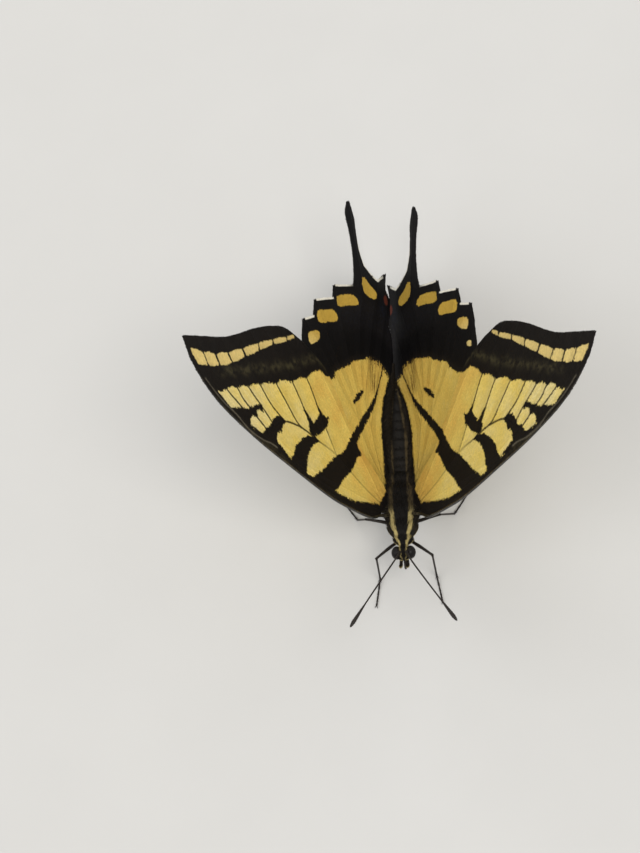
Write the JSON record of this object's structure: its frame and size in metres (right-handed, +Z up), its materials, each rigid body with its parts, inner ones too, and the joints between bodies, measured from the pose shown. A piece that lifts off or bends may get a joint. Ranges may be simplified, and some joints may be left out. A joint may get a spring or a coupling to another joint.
{
  "type": "swallowtail butterfly model",
  "caption": "Life-size still model of a tiger-striped swallowtail butterfly standing on its feet, wings half open, with feelers, coiled tongue and long hindwing tails.",
  "frame": {"origin": "on the floor, under the middle of the whole butterfly", "axes": "+Z up from the floor, -Y the way the head points, +X the insect's own left"},
  "size_m": [0.0542, 0.0674, 0.0535],
  "materials": {
    "wing": "matt scales, straw yellow striped with brown-black",
    "fur": "soft dark hair with yellow stripes",
    "horn": "dark horn with a low sheen",
    "eye": "smooth dark dome of fine facets"
  },
  "bodies": {
    "root": {"head": "fur", "thorax": "fur", "abdomen": "fur", "eye_left": "eye", "eye_right": "eye", "palp_left": "fur", "palp_right": "fur", "proboscis": "horn", "antenna_left": "horn", "antenna_right": "horn", "foreleg_left": "horn", "foreleg_right": "horn", "midleg_left": "horn", "midleg_right": "horn", "hindleg_left": "horn", "hindleg_right": "horn", "forewing_left": "wing", "forewing_right": "wing", "hindwing_left": "wing", "hindwing_right": "wing", "tail_left": "wing", "tail_right": "wing"}
  },
  "joints": []
}
